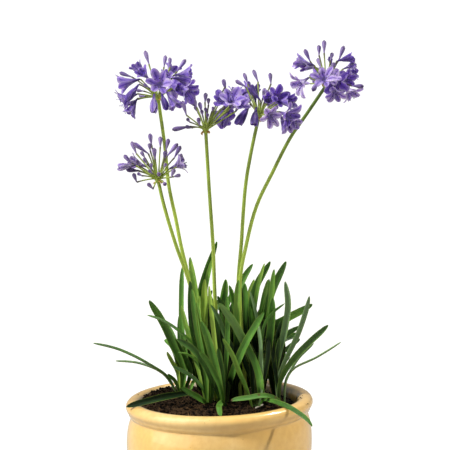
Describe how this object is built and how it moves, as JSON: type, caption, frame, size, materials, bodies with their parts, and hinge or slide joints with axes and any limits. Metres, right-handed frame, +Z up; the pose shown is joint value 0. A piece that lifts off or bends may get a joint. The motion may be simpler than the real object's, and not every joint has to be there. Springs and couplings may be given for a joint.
{
  "type": "potted agapanthus plant",
  "caption": "Agapanthus in flower: strap leaves and tall stems with round violet-blue flower heads and buds, growing in soil in a glazed, round-bellied pot.",
  "frame": {"origin": "centre of the pot's flat underside, on the pot's axis", "axes": "+Z up, -Y towards the side that the plant is seen from, +X to the right of that view"},
  "size_m": [0.3905, 0.265, 0.711],
  "materials": {
    "glaze": "gloss",
    "soil": "matte",
    "leaf": "satin",
    "stem": "satin",
    "petal": "matte"
  },
  "bodies": {
    "root": {"pot": "glaze", "soil": "soil", "shoot_left_back": "leaf", "shoot_back_left": "leaf", "shoot_front_left": "leaf", "shoot_front_middle": "leaf", "shoot_middle": "leaf", "shoot_right_back": "leaf", "shoot_front_right": "leaf", "shoot_right": "leaf", "shoot_far_right": "leaf", "scape_1": "stem", "umbel_1": "petal", "scape_2": "stem", "umbel_2": "petal", "scape_3": "stem", "umbel_3": "petal", "scape_4": "stem", "umbel_4": "petal", "scape_5": "stem", "umbel_5": "petal"}
  },
  "joints": []
}
